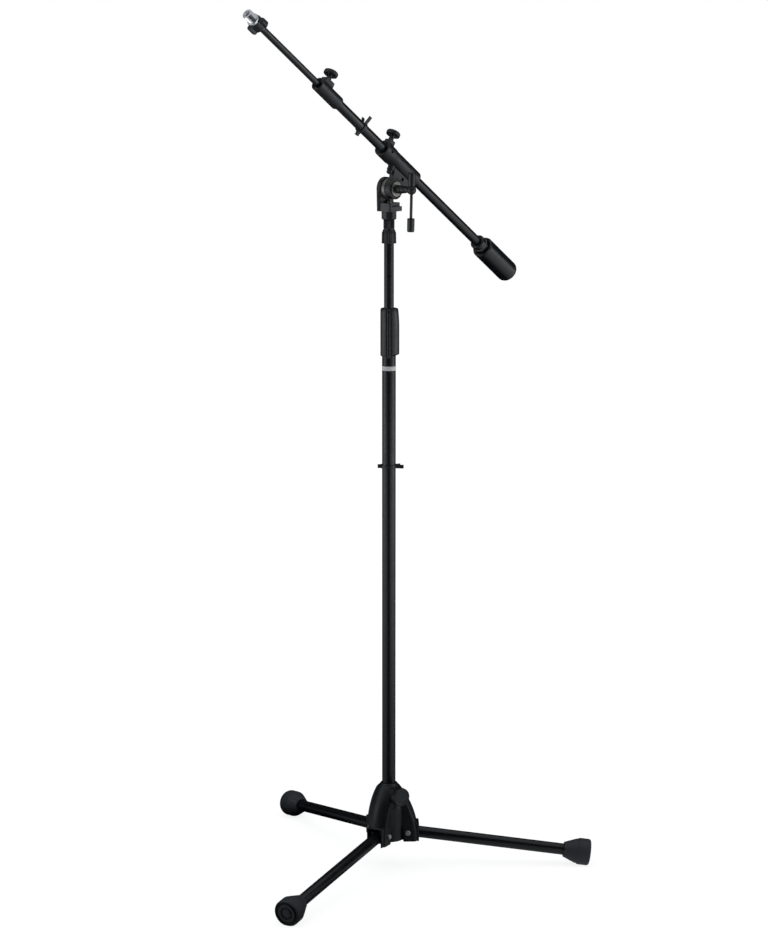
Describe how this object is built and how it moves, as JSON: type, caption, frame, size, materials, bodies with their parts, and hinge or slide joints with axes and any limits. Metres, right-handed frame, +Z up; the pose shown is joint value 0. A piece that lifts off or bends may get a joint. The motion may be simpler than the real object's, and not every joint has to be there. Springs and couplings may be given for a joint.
{
  "type": "boom microphone stand",
  "caption": "Black tripod microphone stand with a telescopic mast and a tilting, counterweighted telescopic boom that ends in a threaded adapter.",
  "frame": {"origin": "on the floor, on the mast's axis", "axes": "+Z up the mast; +X along one leg; the boom's microphone end points up, towards -X and -Y"},
  "size_m": [0.5654, 0.606, 1.4211],
  "materials": {
    "powder_coat": "satin black powder coat",
    "die_cast": "fine-textured black paint on a casting",
    "black_plastic": "matte black moulded nylon",
    "liner_plastic": "natural acetal",
    "foot_rubber": "dark grey rubber",
    "zinc_steel": "bright zinc plate",
    "light_metal": "turned, bare",
    "bright_chrome": "polished",
    "tan_washer": "dull",
    "pale_mark": "plain printed band"
  },
  "bodies": {
    "base": {"base_hub": "die_cast", "hub_bushing": "black_plastic", "leg_pivot_pins": "zinc_steel"},
    "base_knob": {"base_knob": "black_plastic", "base_knob_screw": "zinc_steel"},
    "leg_right": {"leg_tube_right": "powder_coat", "leg_hinge_end_right": "black_plastic", "foot_right": "foot_rubber"},
    "leg_rear": {"leg_tube_rear": "powder_coat", "leg_hinge_end_rear": "black_plastic", "foot_rear": "foot_rubber"},
    "leg_front": {"leg_tube_front": "powder_coat", "leg_hinge_end_front": "black_plastic", "foot_front": "foot_rubber"},
    "mast": {"lower_tube": "powder_coat", "mast_bottom_plug": "black_plastic", "mast_cable_clip": "black_plastic", "mast_label": "pale_mark", "clutch_body": "black_plastic", "clutch_collet": "liner_plastic"},
    "clutch_grip": {"clutch_grip": "black_plastic"},
    "upper_mast": {"upper_tube": "powder_coat", "tube_guide": "liner_plastic", "tube_top_stud": "zinc_steel", "knurled_collar": "die_cast", "yoke_bolt": "zinc_steel"},
    "lock_nut": {"lock_nut": "die_cast"},
    "head": {"yoke": "die_cast", "head_collar": "die_cast", "friction_disc": "light_metal", "clutch_bolt": "zinc_steel"},
    "boom_holder": {"boom_holder": "die_cast", "holder_stop_screw": "die_cast", "friction_washer": "black_plastic"},
    "boom_liners": {"holder_bushings": "black_plastic"},
    "handle": {"clutch_washer": "zinc_steel", "handle_barrel": "die_cast"},
    "handle_bar": {"handle_bar": "powder_coat", "bar_caps": "black_plastic"},
    "holder_knob": {"holder_knob": "black_plastic", "holder_knob_screw": "zinc_steel"},
    "boom": {"boom_tube": "powder_coat", "boom_clamp": "powder_coat", "clamp_bushing": "black_plastic", "boom_cable_clip": "black_plastic", "weight_collar": "powder_coat", "weight_washer": "tan_washer", "weight_nut": "die_cast", "weight_stud": "zinc_steel", "counterweight": "powder_coat"},
    "clamp_knob": {"clamp_knob": "black_plastic", "clamp_knob_screw": "zinc_steel"},
    "boom_rod": {"boom_rod": "powder_coat", "rod_guide": "liner_plastic", "mic_thread": "bright_chrome", "thread_ring": "bright_chrome"},
    "wing_ring": {"wing_ring": "black_plastic"}
  },
  "joints": [
    {"name": "base_knob_turn", "type": "hinge", "parent": "base", "child": "base_knob", "pos_m": [0.02, -0.03464, 0.129], "axis": [0.5, -0.866, 0], "range_deg": [0, 360]},
    {"name": "leg_right_fold", "type": "hinge", "parent": "base", "child": "leg_right", "pos_m": [0.0314, 0, 0.0616], "axis": [0, 1, 0], "range_deg": [0, 81]},
    {"name": "leg_rear_fold", "type": "hinge", "parent": "base", "child": "leg_rear", "pos_m": [-0.0157, 0.02719, 0.0616], "axis": [-0.866, -0.5, 0], "range_deg": [0, 81]},
    {"name": "leg_front_fold", "type": "hinge", "parent": "base", "child": "leg_front", "pos_m": [-0.0157, -0.02719, 0.0616], "axis": [0.866, -0.5, 0], "range_deg": [0, 81]},
    {"name": "mast_slide", "type": "slide", "parent": "base", "child": "mast", "axis": [0, 0, 1], "range_m": [-0.3, 0]},
    {"name": "clutch_grip_turn", "type": "hinge", "parent": "mast", "child": "clutch_grip", "pos_m": [0, 0, 0.9], "axis": [0, 0, 1], "range_deg": [0, 120]},
    {"name": "height_slide", "type": "slide", "parent": "mast", "child": "upper_mast", "axis": [0, 0, 1], "range_m": [-0.1, 0.5]},
    {"name": "lock_nut_turn", "type": "hinge", "parent": "upper_mast", "child": "lock_nut", "pos_m": [0, 0, 1.058], "axis": [0, 0, 1], "range_deg": [0, 360]},
    {"name": "head_swivel", "type": "hinge", "parent": "upper_mast", "child": "head", "pos_m": [0, 0, 1.09], "axis": [0, 0, 1], "continuous": true},
    {"name": "boom_tilt", "type": "hinge", "parent": "head", "child": "boom_holder", "pos_m": [0, 0, 1.1346], "axis": [0.7501, -0.6613, 0], "range_deg": [-56, 112]},
    {"name": "handle_turn", "type": "hinge", "parent": "head", "child": "handle", "pos_m": [0.015, -0.01323, 1.1346], "axis": [0.7501, -0.6613, 0], "range_deg": [0, 360]},
    {"name": "handle_bar_slide", "type": "slide", "parent": "handle", "child": "handle_bar", "axis": [0.0196, 0.0223, 0.9996], "range_m": [0, 0.039]},
    {"name": "holder_knob_turn", "type": "hinge", "parent": "boom_holder", "child": "holder_knob", "pos_m": [0.00385, -0.01075, 1.21633], "axis": [0.3717, 0.4216, 0.8271], "range_deg": [0, 360]},
    {"name": "boom_roll", "type": "hinge", "parent": "boom_holder", "child": "boom_liners", "pos_m": [0.02218, 0.01004, 1.16727], "axis": [-0.547, -0.6204, 0.5621], "range_deg": [-90, 90]},
    {"name": "boom_slide", "type": "slide", "parent": "boom_liners", "child": "boom", "axis": [-0.547, -0.6204, 0.5621], "range_m": [-0.05, 0.19]},
    {"name": "clamp_knob_turn", "type": "hinge", "parent": "boom", "child": "clamp_knob", "pos_m": [-0.09673, -0.12484, 1.31365], "axis": [0.3717, 0.4216, 0.8271], "range_deg": [0, 360]},
    {"name": "boom_extend", "type": "slide", "parent": "boom", "child": "boom_rod", "axis": [-0.547, -0.6204, 0.5621], "range_m": [-0.14, 0.22]},
    {"name": "wing_ring_turn", "type": "hinge", "parent": "boom_rod", "child": "wing_ring", "pos_m": [-0.20371, -0.24618, 1.39941], "axis": [-0.547, -0.6204, 0.5621], "range_deg": [0, 360]}
  ]
}
